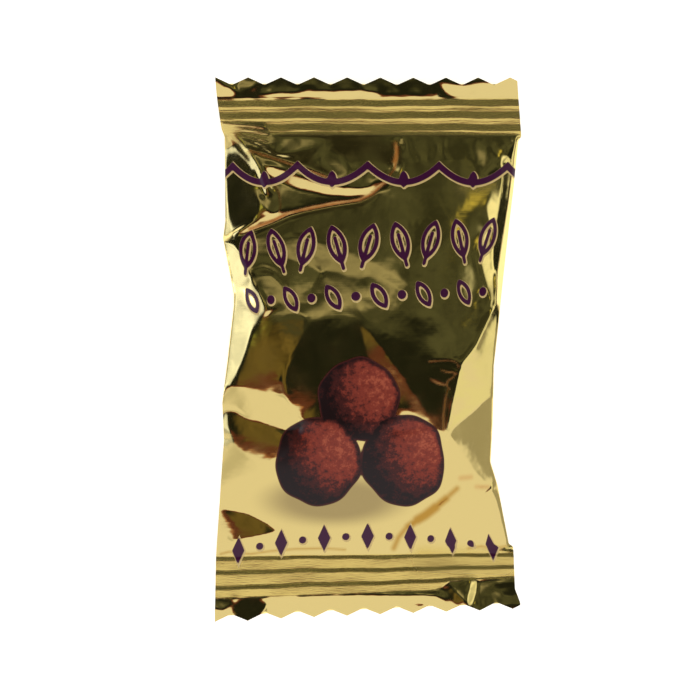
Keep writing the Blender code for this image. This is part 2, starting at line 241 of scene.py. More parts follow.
# %% Facets: name, tilt, softness of the edge, bulge, corners in millimetres
FACETS = [
    ("lobe", "little_away", 0.25, 0.004, (
        (-1, 5), (-0.6, 3.9), (1.2, 3), (3, 1.6), (5, 0.1), (7, -0.9), (9, -1.3), (10.8, -1.2), (12.2, -0.5),
        (13.6, 0.9), (14.8, 2.6), (16, 4.6), (16.2, 7), (8, 8))),
    ("open_film", "body", 1.4, 0, (
        (-3, 12.5), (4, 10.8), (1, 8), (1.5, 6.4), (4.2, 4.6), (6.5, 3.4), (9, 3), (12, 3.4), (14, 5.4),
        (14.6, 7.2), (13.7, 9.5), (13.5, 13), (15, 17), (15.5, 20), (14, 23.6), (6, 23.8), (5, 21.8), (2, 19),
        (-4, 17))),
    # under the top seal, left
    ("darkest", "left", 0.2, 0, (
        (-18.4, 25.4), (-17.1, 25.3), (-15.9, 23.9), (-15, 22.6), (-14.2, 21), (-14.4, 19.3), (-14.3, 17.9),
        (-16, 16.4), (-17.8, 15.4), (-18.5, 18), (-18.6, 23))),
    ("left_edge", "near_left", 0.1, 0, (
        (-19.6, 29.4), (-18.8, 29.2), (-18.7, 27.6), (-18.8, 23), (-18.6, 18), (-18, 15.2), (-19.8, 14.6))),
    ("seal_wedge", "wedge", 0.3, 0, (
        (-13.2, 27.9), (-5.4, 27.9), (-5.9, 27), (-7.2, 26.3), (-9.5, 25.9), (-12.6, 25.5))),
    ("black_band", "level", 0.2, 0, (
        (-15.4, 25.6), (-12.9, 25.3), (-10, 24.3), (-6, 22.9), (-3.4, 21.7), (-6.5, 21.9), (-8.5, 22.6),
        (-11, 23.5), (-12.6, 24.2), (-14, 24.3))),
    ("leaf", "near", 0.2, 0.02, (
        (-14, 24.2), (-12.5, 24.1), (-11, 23.4), (-8.5, 22.5), (-6.5, 21.8), (-3.4, 21.2), (-1, 21),
        (0.4, 21.3), (1.2, 22.2), (0.9, 21.1), (0, 20.2), (-2.5, 19.8), (-6, 20.1), (-9, 20.7), (-12, 21.8),
        (-13.2, 22.9))),
    ("dark_flank", "flank", 0.2, 0, (
        (-13.1, 22.6), (-12, 21.6), (-9, 20.6), (-6, 20), (-2.5, 19.7), (0.2, 20.1), (1.2, 21.3), (1.6, 22.6),
        (2, 22), (0.6, 20.5), (-1, 19.5), (-5, 18.9), (-10, 17.8), (-12, 17.2), (-11.3, 18.2), (-11.7, 20.2))),
    ("under_ridge", "away", 0.3, 0, (
        (-15.5, 14.5), (-12, 15.9), (-8, 17.3), (-3, 18.4), (0.5, 19.2), (2.6, 20.6), (4.5, 20.4), (2.5, 17.8),
        (-4, 16.2), (-10, 15), (-15, 14))),
    ("lens", "away", 0.15, 0.03, (
        (-13.9, 20.6), (-13.3, 21.3), (-12.4, 20.6), (-11.6, 19.2), (-11.6, 18.1), (-12.3, 17.6),
        (-13.5, 18.2), (-14, 19.3))),
    ("taper", "near", 0.1, 0, (
        (-18, 14.9), (-15.3, 16.4), (-12.7, 17.7), (-13.3, 17.1), (-15.4, 15.7), (-16.8, 15))),
    ("pucker", "wedge", 1, 0, ((-4.6, 25.6), (-5.6, 24.2), (-4.4, 23), (-3, 23.4), (-3.8, 25.2))),
    ("cone", "wedge", 1.2, 0, ((14.6, 25.8), (15.6, 25.8), (17, 24.6), (15.6, 23.6), (14, 24))),
    ("speckle", "glow", 0.9, 0, ((13.6, 21.6), (15.2, 22.3), (17, 21.8), (17.2, 20.9), (15, 20.6))),
    # upper right side
    ("dark_side", "right", 0.15, 0, (
        (16.6, 10), (17, 10), (17.8, 14.5), (18.5, 20), (19.2, 24.6), (18, 24.2), (17.7, 20.6), (17.2, 17.2),
        (16.5, 13))),
    ("cream_edge", "edge", 0.12, 0, (
        (16.9, 5.6), (17.2, 10), (18, 14.5), (18.8, 20), (19.5, 25.5), (19.8, 27.9), (20.8, 27.9), (19.8, 15),
        (18.6, 5.6))),
    ("window_top", "window", 0.3, 0, (
        (17.7, 20.9), (16.5, 20.7), (15.7, 18.9), (15.8, 17.4), (16.3, 16.2), (17, 15.6), (17.2, 17.6))),
    ("window_low", "window", 0.3, 0, (
        (16.2, 15.2), (14.9, 14.6), (14.5, 12.6), (15.2, 10), (15.8, 7.4), (16.3, 6), (16.6, 6.2), (16.4, 8),
        (16.2, 11))),
    # left waist
    ("shoulder", "sheen", 0.4, 0, (
        (-16.4, 14.3), (-10, 14.5), (-5, 13.4), (-1, 11.8), (3, 10), (5.5, 8.2), (4.5, 7.4), (0, 9.2),
        (-4.6, 10), (-8, 10.7), (-12, 11.9), (-15.8, 12.5))),
    ("waist", "away", 0.2, 0.02, (
        (-16, 12.4), (-12, 11.9), (-8, 10.7), (-6.2, 10), (-6.3, 9), (-7.5, 7.4), (-9.5, 6.9), (-10.8, 8),
        (-11.8, 9.6), (-13.4, 10.6), (-15.8, 10.4))),
    ("waist_ribbon", "sheen", 0.25, 0, (
        (-15.5, 8.9), (-14, 9.3), (-12.8, 9.3), (-11.8, 8.4), (-10.8, 7.1), (-9, 6.9), (-7.6, 7.5),
        (-6.4, 9.2), (-5.2, 9.1), (-5.7, 7.5), (-6.8, 6.2), (-8, 5.8), (-11, 6), (-13, 6.3), (-13.8, 7.6),
        (-15, 8.4))),
    ("waist_upper", "near_left", 0.2, 0, (
        (-20.4, 14.4), (-17.6, 13.2), (-16.7, 12.2), (-16.1, 10.6), (-15.6, 9.2), (-16.3, 8.4), (-20.4, 7.5))),
    ("waist_lower", "near_left", 0.25, 0, (
        (-20.4, 8), (-16.3, 8.3), (-14.4, 7.7), (-13.7, 6), (-13.3, 4.5), (-14.2, 3.6), (-15.2, 2.3),
        (-15.8, 0.5), (-16.3, -1), (-17.3, -3), (-18.2, -5.1), (-20.4, -5.1))),
    ("waist_glint", "lamp", 0.3, 0, ((-16.2, 7.6), (-14.9, 7.2), (-14.3, 5.4), (-15.4, 4.6), (-16.4, 6))),
    # middle
    ("brown_pane", "warm", 0.35, 0.022, (
        (-15.2, 2.4), (-13.6, 3.8), (-12.6, 4.3), (-9.6, 4.5), (-8.3, 3.9), (-8.2, 2.5), (-8.9, 0.7),
        (-10.3, -1), (-11.5, -2.7), (-11.9, -4.5), (-11.7, -6), (-13.5, -5.8), (-16, -5.2), (-17.4, -5),
        (-17.2, -3.4), (-16.2, -1), (-15.7, 0.5))),
    ("pane_light", "glow_left", 0.7, 0, ((-15, 2), (-12.7, 2.2), (-12.9, 0.8), (-14.6, 0.6))),
    ("crest", "crest", 0.3, 0.004, (
        (-7.8, 3.4), (-3, 4.2), (-0.6, 3.7), (1.2, 2.8), (3, 1.4), (5, -0.1), (7, -1.1), (9, -1.5),
        (10.8, -1.4), (11.9, -2.2), (11.4, -4), (10.6, -7), (9.9, -11), (8.5, -10.6), (4, -10), (-5, -10.2),
        (-9.2, -9.4), (-10.6, -6.6), (-11, -4.4), (-10.6, -2.6), (-8.2, 0.9))),
    ("brown_streak", "streak", 0.3, 0, (
        (-1, 2.6), (0.3, 2), (2.4, -0.6), (4.6, -3.8), (6.6, -6.8), (8.3, -9.9), (6.2, -9.6), (4.2, -7.8),
        (3.4, -6), (1.2, -3.2), (-0.4, -1))),
    ("streak_foot", "near", 0.25, 0, ((4, -7.7), (5.6, -8.6), (8.6, -10.4), (3.8, -10.8))),
    ("bright_leaf", "near", 0.15, 0.02, (
        (-20.4, -5.2), (-16, -5.2), (-13, -6), (-11.2, -7.6), (-9.7, -9), (-9, -10.1), (-9.3, -11), (-11, -11),
        (-13.5, -10.1), (-15.5, -9.2), (-17.2, -8), (-20.2, -7.6))),
    ("dent", "dented", 0.35, 0.035, (
        (-18.6, -8.4), (-17.4, -8.5), (-15.5, -9.7), (-13.5, -10.6), (-11, -11.5), (-9.6, -11.5), (-10, -12.8),
        (-11.2, -14.3), (-13.5, -15.3), (-15.8, -14.7), (-17.4, -12.9), (-18.2, -11))),
    # right side
    ("right_bright", "near_right", 0.12, 0, (
        (17.2, 5.6), (16.6, 4.5), (15.5, 2.2), (14.5, 0.3), (12.2, -2.2), (11.9, -4), (11.4, -6),
        (10.25, -11.2), (11.5, -9.9), (13.5, -8.5), (15, -7.1), (18.4, -5), (18.4, 0), (18.4, 5.4))),
    ("right_dim", "right_low", 0.12, 0, (
        (10.5, -11.5), (11.5, -10.1), (13.5, -8.7), (15, -7.3), (18.4, -5.2), (18.4, -12), (18.2, -19.4),
        (16.5, -18.5), (14, -15.9), (12, -13.9))),
    ("right_gutter", "away", 0.12, 0, (
        (17, 5.3), (16.3, 4.6), (15.2, 2.4), (14.3, 0.4), (12, -2.3), (11.7, -4), (11.2, -6), (10.2, -11),
        (9.9, -10.9), (10.7, -6.4), (11.3, -3.2), (11.6, -1.9), (12.8, -0.2), (14.4, 2.4), (15.8, 4.9))),
    # above the bottom seal
    ("corner_triangle", "warm_low", 0.12, 0.02, (
        (-19.5, -21.4), (-16, -22), (-13.3, -23.3), (-12, -24.5), (-13.5, -25), (-18.3, -26), (-18.9, -24.5))),
    ("low_film", "body", 0.3, 0, (
        (10.6, -12.6), (12.2, -14.6), (14.2, -16.6), (16.2, -18.9), (17.4, -22), (18.2, -26.6), (12, -26.6),
        (12.6, -21), (11, -16.5), (9.6, -13))),
    ("low_left_edge", "near", 0.15, 0, (
        (-20.8, -20.8), (-19.7, -21.2), (-19, -24.5), (-18.4, -26.2), (-20.8, -26.4))),
    ("low_right_edge", "right_low", 0.12, 0, ((16.4, -18.4), (17.6, -18.2), (19.8, -26.6), (18.6, -26.6))),
    # free edges beyond the seals
    ("top_wedge", "near", 0.1, 0, (
        (-14.6, 33.3), (-12, 33.7), (-6, 34), (-1, 34.05), (0.5, 34), (2.3, 33.4), (3.2, 33.1), (-14.6, 33.1))),
    ("top_corner", "near", 0.15, 0, ((-20.4, 35.6), (-19.2, 34.7), (-17.8, 34.2), (-18, 33.1), (-20.3, 33.1))),
    ("top_lens", "wedge", 0.15, 0, ((-17.6, 34.5), (-16.5, 35.6), (-14.4, 35.3), (-15.2, 34.5))),
    ("top_dark", "level", 0.2, 0, (
        (-14.2, 35), (-12, 34), (-6, 34.3), (0, 34.4), (2.6, 33.7), (8.8, 33.3), (9.2, 34.4), (8, 36.4),
        (-14, 36.4))),
    ("top_right", "near", 0.35, 0, (
        (9.4, 35.2), (10.4, 34.2), (11.2, 33.2), (20.6, 33.2), (20.6, 35.9), (19, 35.9), (17, 34.9),
        (15, 35.2), (12.5, 34.8))),
    ("low_bright", "near_low", 0.3, 0, ((-13.2, -33.2), (9, -33.2), (11, -34.6), (10, -37), (-13, -37))),
    ("low_patch", "level_low", 0.25, 0, (
        (-16.9, -33.3), (-14.3, -33.3), (-13.6, -34.6), (-15, -36.6), (-17, -36.6), (-17.8, -35))),
    ("low_corner", "away", 0.2, 0, (
        (-20.2, -33.2), (-18.4, -33.3), (-17.7, -34.1), (-19, -35.4), (-20.3, -34.7))),
    ("low_brown", "low_streak", 0.25, 0, ((9.8, -31.8), (11, -31.5), (12.9, -34), (12.3, -34.6))),
    ("low_teal", "away", 0.2, 0, (
        (11.2, -31.4), (19.4, -31), (19.8, -34.4), (17.5, -34.2), (15.6, -35.2), (13, -34.2))),
    ("low_wedge", "near_low", 0.12, 0, (
        (-18.3, -33.3), (-17.2, -33.3), (-17.9, -34.6), (-18.6, -36.5), (-20.4, -36.5), (-19.3, -35.2),
        (-18.1, -34.2))),
    ("low_end", "level", 0.2, 0, ((17, -31.6), (19.6, -31.2), (19.8, -33.6), (18, -33))),
]

# %% Creases: name, tilt, half width, points in millimetres
CREASES = [
    ("upper_ridge", "rim_upper", 0.28, ((-15.6, 26), (-12.2, 24.9), (-9, 23.8), (-6, 22.7), (-3.1, 21.6))),
    ("lower_ridge", "rim_lower", 0.3, (
        (-16.5, 15.1), (-12.5, 16.6), (-10.5, 17.6), (-8, 18.2), (-5, 18.8), (-1, 19.4), (0.5, 20.2),
        (2.2, 21.8))),
    ("tongue", "window_high", 0.35, ((3.5, 24), (3.8, 25.2), (3.8, 26.8))),
    ("swirl_a", "swirl", 0.4, ((5.6, 27.4), (5.9, 26), (6.6, 24.8))),
    ("swirl_b", "swirl", 0.45, ((8.3, 27.2), (8.8, 26.2), (8.4, 25))),
    ("swirl_c", "swirl", 0.4, ((10.5, 27.4), (10.3, 26.2), (11.2, 25))),
    ("side_strand", "double", 0.25, ((-18.9, 26.1), (-17.4, 26.1), (-16.6, 25.3), (-15.4, 23.9))),
    ("double_crease", "double", 0.36, (
        (-18.3, 28.4), (-16.9, 27), (-15.6, 25.4), (-14.6, 23.6), (-14, 22), (-13.5, 20.4))),
    ("fan_a", "near", 0.16, ((-18.9, 29.5), (-16.4, 29.3), (-13.8, 29))),
    ("fan_b", "near", 0.2, ((-18.9, 29.3), (-16.2, 28.6), (-13.3, 28.2))),
    ("fan_c", "near", 0.2, ((-18.8, 29.1), (-16.2, 27.9), (-13.4, 27.2))),
    ("fan_d", "near", 0.18, ((-18.7, 28.9), (-16.6, 27.4), (-14.6, 26.4))),
    ("waist_line", "sheen", 0.12, ((-14, 10.9), (-12.5, 10.5), (-11.3, 9.6), (-10.7, 8.6), (-10.6, 7.8))),
    ("twist_a", "rim", 0.13, ((8, -2), (10.5, -1.7), (11.7, -2), (11.8, -2.8))),
    ("twist_b", "rim", 0.15, ((10.2, -3.2), (11.6, -3.4), (10.7, -4.3), (10.3, -5), (10.7, -5.6))),
    ("twist_c", "rim", 0.13, ((8.3, -4.3), (10, -5))),
    ("twist_d", "rim_side", 0.13, ((10.2, -6), (9.9, -8), (9.9, -11))),
    ("groove_dark_a", "groove_dark", 0.32, ((10.5, -20), (9.2, -21.1))),
    ("groove_dark_b", "groove_dark", 0.32, ((7.9, -22), (6.9, -22.8))),
    ("leaf_tip", "near", 0.4, ((-13, 23.5), (-11.4, 22.8))),
    ("low_mark", "level", 0.28, ((6.1, -34.4), (7.3, -34.4))),
    ("nick", "nick", 0.14, ((15.6, -19.3), (16.4, -18.7))),
    ("smudge", "level", 0.12, ((10.8, -22.5), (11.8, -22.7))),
    ("low_glint", "side", 0.6, ((14.2, -31.2), (14.1, -32.5), (13.7, -33.6))),
    ("strand", "level", 0.12, ((4.4, -25.5), (6, -24.8), (7.4, -24.4), (7.8, -25.4))),
]
print(len(FACETS), "facets and", len(CREASES), "creases")

# %% [markdown]
# The grid that the heights are worked out on is finer than the folds. Two distance functions turn the
# polygons and lines into soft masks on it, and grain adds the faint unevenness that keeps film from
# looking like glass: smooth random heights between two wavelengths, with a fixed seed.

# %% Grid, distances and grain
STEP = 0.14
GRID_X = np.arange(-22.4, 22.4 + 1e-9, STEP)
GRID_Y = np.arange(-38.0, 38.0 + 1e-9, STEP)


def nearest_on(x, y, a, b):
    """Squared distance to the stretch from a to b."""
    dx, dy = b[0] - a[0], b[1] - a[1]
    t = np.clip(((x - a[0]) * dx + (y - a[1]) * dy) / (dx * dx + dy * dy), 0, 1)
    return (x - a[0] - t * dx) ** 2 + (y - a[1] - t * dy) ** 2


def line_distance(x, y, points):
    """Distance to a line of straight stretches."""
    return np.sqrt(np.min([nearest_on(x, y, a, b) for a, b in zip(points, points[1:])], axis=0))


def polygon_distance(x, y, corners):
    """Distance to a polygon's outline, less than 0 inside, where a ray to the right crosses it an odd
    number of times."""
    inside = np.zeros(x.shape, bool)
    for (ax, ay), (bx, by) in zip(corners, corners[1:] + corners[:1]):
        crosses = (ay > y) != (by > y)
        inside ^= crosses & (x < ax + (y - ay) * (bx - ax) / (by - ay if by != ay else 1e-9))
    return np.where(inside, -1, 1) * line_distance(x, y, corners + corners[:1])


def grain(shape, long_mm, short_mm, seed):
    """Random heights of waves between two lengths. Their slopes' spread is 1."""
    spectrum = np.fft.rfft2(np.random.default_rng(seed).standard_normal(shape))
    k = np.hypot(np.fft.fftfreq(shape[0], STEP)[:, None], np.fft.rfftfreq(shape[1], STEP)[None, :])
    band = np.exp(-(k * short_mm) ** 2) * (1 - np.exp(-(k * long_mm) ** 2)) / np.maximum(k, 1e-6)
    field = np.fft.irfft2(spectrum * band, s=shape)
    down, over = np.gradient(field, STEP)
    return field / np.sqrt((down**2 + over**2).mean() / 2)


def blur(field, radius):
    """Each value becomes a bell-shaped mean of its neighbours."""
    reach = int(np.ceil(3 * radius / STEP))
    bell = np.exp(-0.5 * (np.arange(-reach, reach + 1) * STEP / radius) ** 2)
    for axis in (0, 1):
        padded = np.pad(field, [(reach, reach) if a == axis else (0, 0) for a in (0, 1)], mode="edge")
        count = field.shape[axis]
        field = sum(w * np.take(padded, range(i, i + count), axis) for i, w in enumerate(bell / bell.sum()))
    return field


def sample(grid, x, y):
    """A grid's value at any place, from the four corners of its cell."""
    column = np.clip((x - GRID_X[0]) / STEP, 0, grid.shape[1] - 1.001)
    row = np.clip((y - GRID_Y[0]) / STEP, 0, grid.shape[0] - 1.001)
    i, j = column.astype(int), row.astype(int)
    u, v = column - i, row - j
    low = grid[j, i] * (1 - u) + grid[j, i + 1] * u
    return low * (1 - v) + (grid[j + 1, i] * (1 - u) + grid[j + 1, i + 1] * u) * v


print("grid:", len(GRID_X), "by", len(GRID_Y), "places")

# %% [markdown]
# The solver looks for the heights whose slopes miss the wanted ones least, where a miss counts more on a
# facet than on the loose film round it. Each round of conjugate gradients is helped by an exact answer to
# the even problem, which the Fourier transform gives at once.

# %% Heights from slopes
LOOSE = 0.04  # how much a miss counts on film that no facet holds
TIE = 0.0008  # a weak pull to the smooth body, per square millimetre
ROUNDS = 40


def even_answer(field):
    """Solves (TIE - Laplacian) h = field on a field mirrored at its edges, wave by wave."""
    wide = np.concatenate([field, field[:, ::-1]], axis=1)
    wide = np.concatenate([wide, wide[::-1]], axis=0)
    ky = (2 - 2 * np.cos(2 * np.pi * np.fft.fftfreq(wide.shape[0])))[:, None] / STEP**2
    kx = (2 - 2 * np.cos(2 * np.pi * np.fft.rfftfreq(wide.shape[1])))[None, :] / STEP**2
    answer = np.fft.irfft2(np.fft.rfft2(wide) / (kx + ky + TIE), s=wide.shape)
    return answer[: field.shape[0], : field.shape[1]]


def fit_heights(slope_x, slope_y, weight):
    """Weighted least squares: the heights whose slopes are nearest to the wanted ones."""
    weight_x = 0.5 * (weight[:, 1:] + weight[:, :-1])
    weight_y = 0.5 * (weight[1:] + weight[:-1])

    def gather(flow_x, flow_y):
        flow_x = np.pad(weight_x * flow_x, ((0, 0), (1, 1)))
        flow_y = np.pad(weight_y * flow_y, ((1, 1), (0, 0)))
        return -(np.diff(flow_x, axis=1) + np.diff(flow_y, axis=0)) / STEP

    left = gather(0.5 * (slope_x[:, 1:] + slope_x[:, :-1]), 0.5 * (slope_y[1:] + slope_y[:-1]))
    height = np.zeros_like(slope_x)
    move = even_answer(left)
    score = (left * move).sum()
    for _ in range(ROUNDS):
        pushed = gather(np.diff(move, axis=1) / STEP, np.diff(move, axis=0) / STEP) + TIE * move
        share = score / (move * pushed).sum()
        height += share * move
        left = left - share * pushed
        ahead = even_answer(left)
        fresh = (left * ahead).sum()
        move = ahead + fresh / score * move
        score = fresh
    return height


# %% The folds' relief
CREASE_HOLD = 8.0  # how many times as much a miss counts on a crease as on a facet
CREASE_SOFT, ROUNDING = 0.12, 0.10  # mm
GRAINS = ((0.012, 9.0, 2.5, 3), (0.008, 1.5, 0.5, 4))  # strength, longest and shortest wave in mm, seed
FRINGE_GRAIN, FRINGE = (0.03, 5.0, 1.6, 5), (32.0, 33.2)  # the free ends beyond the ribs are wavier


def fold_relief():
    """Relief to add to the smooth front: each facet's tilt less the body's own. Seals stay as pressed."""
    x, y = np.meshgrid(GRID_X, GRID_Y)
    across, along = film_place(x, y)
    body_y, body_x = np.gradient(front_height(np.clip(across, -HALF_WIDTH, HALF_WIDTH), along), STEP)
    slope_x, slope_y, held, insist = [np.zeros_like(x) for _ in range(3)] + [np.ones_like(x)]
    holds = [(tilt, 1.0, bulge, np.mean(corners, axis=0),
              smooth_step(-polygon_distance(x, y, corners), -soft, soft))
             for _, tilt, soft, bulge, corners in FACETS]
    holds += [(tilt, CREASE_HOLD, 0, points[0],
               1 - smooth_step(line_distance(x, y, points), half - CREASE_SOFT, half + CREASE_SOFT))
              for _, tilt, half, points in CREASES]
    for tilt, stress, bulge, (middle_x, middle_y), mask in holds:
        right, up = TILT[tilt] or (-body_x, -body_y)
        insist = insist * (1 - mask) + stress * mask
        slope_x = slope_x * (1 - mask) - mask * (right + bulge * (x - middle_x) + body_x)
        slope_y = slope_y * (1 - mask) - mask * (up + bulge * (y - middle_y) + body_y)
        held = np.maximum(held, mask)
    free = 1 - sum(crimped(across, along, low, high) for low, high in (TOP_RIBS, BOTTOM_RIBS))
    weight = (LOOSE + (1 - LOOSE) * np.maximum(held, 1 - free)) * insist
    height = blur(fit_heights(slope_x * free, slope_y * free, weight), ROUNDING)
    unevenness = sum(strength * grain(x.shape, *waves) for strength, *waves in GRAINS)
    strength, *waves = FRINGE_GRAIN
    fringe = smooth_step(np.abs(along), *FRINGE) * strength * grain(x.shape, *waves)
    return height + free * (unevenness + fringe)


relief = fold_relief()
print("relief from", relief.min().round(2), "to", relief.max().round(2), "mm")

# %% [markdown]
# ## The print
# Real film is printed before it is wrapped, in opaque purple, cream and brown over the metal, so the print
# follows the film and not the room. The shapes here are generic: hanging swags, a garland of leaves,
# lozenges and beads, and three dusted truffles. Each is a distance field over the film in millimetres, kept
# as an attribute of the mesh, and the shader cuts it sharp at 0.

# %% Shapes as distances
def turned(x, y, at, angle):
    """x and y as seen from a shape that stands at a place and is turned."""
    x, y = x - at[0], y - at[1]
    return x * np.cos(angle) + y * np.sin(angle), y * np.cos(angle) - x * np.sin(angle)


def bead(x, y, at, radius):
    """Distance from its middle, less its radius."""
    return np.hypot(x - at[0], y - at[1]) - radius


def lozenge(x, y, at, half_width, half_height):
    """|x| / w + |y| / h - 1, scaled to millimetres."""
    scale = half_width * half_height / np.hypot(half_width, half_height)
    return (np.abs(x - at[0]) / half_width + np.abs(y - at[1]) / half_height - 1) * scale


def leaf(x, y, at, angle, half_width, half_height):
    """Where two circles overlap, with the points up and down."""
    x, y = turned(x, y, at, angle)
    radius = (half_height**2 + half_width**2) / (2 * half_width)
    return np.hypot(np.abs(x) + radius - half_width, y) - radius


def stroke(distance, width):
    """A line of that width just inside a shape's edge."""
    return np.abs(distance + 0.5 * width) - 0.5 * width


# %% Purple print: swags, leaves and beads
SWAG_PITCH, SWAG_TOP, SWAG_DEPTH, SWAG_HALF = 9.6, 24.1, 2.3, 0.42
SWAG_SLOPE = 1.92  # of an arc where its swing is 1, about 8 depth / pitch
BORDER = 0.55  # width of the lines that leaves are drawn with
ROWS = {  # how many marks, where the first one is, their pitch, and the row's height, slope and bend
    "buds": (4, -14.4, SWAG_PITCH, 22.2, 0.0, 0.0), "leaves": (9, -16.9, 4.25, 13.7, 0.05, 0.0),
    "seeds": (12, -17.1, 3.1, 6.7, 0.035, 0.0), "lozenges": (13, -17.4, 2.9, -25.1, 0.0, -0.006),
}


def row_of(name):
    """The row's marks, counted, each with its place on the line height + slope x + bend x^2."""
    count, first, pitch, height, slope, bend = ROWS[name]
    side = first + pitch * np.arange(count)
    return enumerate(zip(side, height + slope * side + bend * side**2))


def purple_print(x, y):
    """Distance to the nearest purple mark. Swags are arcs top - depth (1 - (2 swing)^2)."""
    swing = (x + SWAG_PITCH / 2) / SWAG_PITCH
    swing = swing - np.round(swing)
    sag = SWAG_TOP - SWAG_DEPTH * (1 - (2 * np.abs(swing)) ** 2)
    marks = [np.abs(y - sag) / np.hypot(1, SWAG_SLOPE * swing) - SWAG_HALF]
    for _, at in row_of("buds"):
        marks.append(leaf(x, y, at, 0.0, 0.62, 1.15))
    for k, at in row_of("leaves"):
        lean = 0.28 if k % 2 else -0.28
        marks.append(stroke(leaf(x, y, at, lean, 1.3, 2.75), BORDER))
        side, up = turned(x, y, at, lean)
        marks.append(np.hypot(side, up - np.clip(up, -3.3, 0.9)) - 0.25)  # stalk and rib
    for k, at in row_of("seeds"):
        marks.append(bead(x, y, at, 0.62) if k % 2 else stroke(leaf(x, y, at, 0.55, 1.0, 2.0), BORDER))
    for k, at in row_of("lozenges"):
        marks.append(bead(x, y, at, 0.5) if k % 2 else lozenge(x, y, at, 0.85, 1.9))
    return np.min(marks, axis=0)


print("purple marks:", {name: row[0] for name, row in ROWS.items()})

# %% Printed truffles and their shadow
TRUFFLES = (((-1.2, -6.9), 5.3, 0.4), ((-6.7, -15.0), 5.7, 2.1), ((5.2, -14.9), 5.9, 4.0))
PICTURE_LIGHT = (0.55, 0.38, 0.74)  # towards the light in the picture: right, up and out of it
SHADOW_MIDDLE, SHADOW_REACH = (-4.5, -20.2), (12.0, 4.2)


def truffle_print(x, y):
    """Distance to the nearest printed truffle, and how brightly it is lit: a ball with a wavering edge."""
    distance, light = np.full(x.shape, 99.0), np.zeros(x.shape)
    for (at_x, at_y), radius, turn in TRUFFLES:
        angle = np.arctan2(y - at_y, x - at_x)
        edge = radius * (1 + 0.022 * np.sin(5 * angle + turn) + 0.013 * np.sin(9 * angle + 2 * turn))
        share = np.hypot(x - at_x, y - at_y) / edge
        here = (share - 1) * edge
        height = np.sqrt(np.clip(1 - share**2, 0, 1))
        lit = ((x - at_x) * PICTURE_LIGHT[0] + (y - at_y) * PICTURE_LIGHT[1]) / edge + height * PICTURE_LIGHT[2]
        light = np.where(here < 0, np.clip(lit, 0, 1) * smooth_step(share, 1.08, 0.86), light)
        distance = np.minimum(distance, here)
    return distance, light


PAINTED_CREASE_GLOW = (  # painted copper glow where light is reflected between the walls of a crease: half width, softness, strength, points
    (0.15, 0.2, 1, ((-15.6, 26), (-12.2, 24.9), (-9, 23.8), (-6, 22.7), (-3.1, 21.6))),
    (0.18, 0.22, 1, (
        (-15.6, 15.6), (-12.5, 16.7), (-10.5, 17.7), (-8, 18.2), (-5, 18.8), (-1, 19.4), (0.7, 20.2),
        (2.3, 21.8), (3.5, 23.5), (4, 25.2), (4.1, 26.6))),
    (0.4, 0.3, 0.9, ((3.5, 24.6), (3.9, 25.8), (3.7, 27))),
    (0.12, 0.15, 0.8, ((-12.3, 21.4), (-11.7, 20.2), (-11.5, 18.6), (-11.7, 17.8))),
    (0.12, 0.18, 0.9, ((8, -1.9), (9.4, -1.8), (10.8, -1.7), (11.7, -2), (11.8, -2.8))),
    (0.14, 0.2, 0.9, (
        (9.6, -3), (10.4, -3.3), (11.5, -3.3), (11.3, -3.9), (10.5, -4.4), (10.3, -5), (10.7, -5.6))),
    (0.12, 0.2, 0.8, ((8.2, -4.1), (9.1, -4.8), (10, -5))),
    (0.14, 0.2, 0.9, ((10.5, -5.4), (10.1, -7), (9.9, -9), (9.9, -10.8))),
    (0.3, 0.35, 0.35, ((12.3, -17.3), (13.6, -17.2))),
    (0.25, 0.3, 0.4, ((14.4, -18.5), (16, -18.6))),
)
AMBER_FOLD = (  # where a fold sends the light through the lacquer twice, written in the same way
    (0.3, 0.4, 0.9, ((11.8, -18.7), (9.6, -20.7), (7.4, -22.4), (5.2, -23.9), (4.1, -25.3), (3.5, -26.8))),
    (0.45, 0.4, 1, ((10.4, -20), (8.6, -21.5), (6.4, -23.1), (5.4, -23.8))),
    (0.6, 0.4, 1, ((9, -21.2), (7.6, -22.3), (6.6, -22.9))),
    (0.12, 0.22, 0.8, (
        (-19.6, -27.6), (-18.4, -27.3), (-15.6, -27.6), (-13, -27.2), (-9.6, -26.9), (-5.7, -26.8), (-3, -27))),
    (0.14, 0.22, 0.7, ((13.4, -26.9), (15.2, -26.6), (17, -26.9), (18.6, -26.6))),
)
BRUSHED = (  # where handling and the jaws have dulled the film
    (1, 0.8, 0.65, ((-18.4, 28.9), (-15.6, 28.4), (-13.8, 27.8))),
    (0.4, 0.4, 0.5, ((-17.6, 27.8), (-15.6, 25.4))),
    (1.8, 1, 1, ((7.6, -28.4), (18, -28.9))),
    (0.8, 1, 0.7, ((12.6, 21.2), (16.6, 21.3))),
)


def line_mask(x, y, lines):
    """How much of the film near each line is marked: full within its half width, then a soft end."""
    marks = [strength * (1 - smooth_step(line_distance(x, y, points), half - soft, half + soft))
             for half, soft, strength, points in lines]
    return np.max(marks, axis=0)


def printed_shadow(x, y):
    """1 under the picture's truffles, fading out: a flat oval, longest to the left."""
    reach = np.hypot((x - SHADOW_MIDDLE[0]) / SHADOW_REACH[0], (y - SHADOW_MIDDLE[1]) / SHADOW_REACH[1])
    return 1 - smooth_step(reach, 0.45, 1.0)


# the marks are painted copper glow along creases, amber where a fold sends the light through the lacquer twice,
# and film dulled by handling and the jaws
print(len(TRUFFLES), "printed truffles, and", len(PAINTED_CREASE_GLOW + AMBER_FOLD + BRUSHED), "marks of wear")

# %% [markdown]
# ## The film's mesh
# One closed skin: each row of film is a ring of points, the front from left to right and then the back.
# Columns are close enough for the folds, and closer still at the side creases, where the film turns over.
# Every fourth column of the front has a partner on the back, and the thin cut edge at each end joins them.

# %% Rows and columns
COLUMNS_PER_TOOTH, BACK_EVERY = 20, 4  # of the front's columns the back has one in four
BODY_ROW, RIB_ROW = 0.21, 0.12  # how far apart the rows are, in mm
SEAL_START = (26.8, 27.9)  # between these places the two films come together


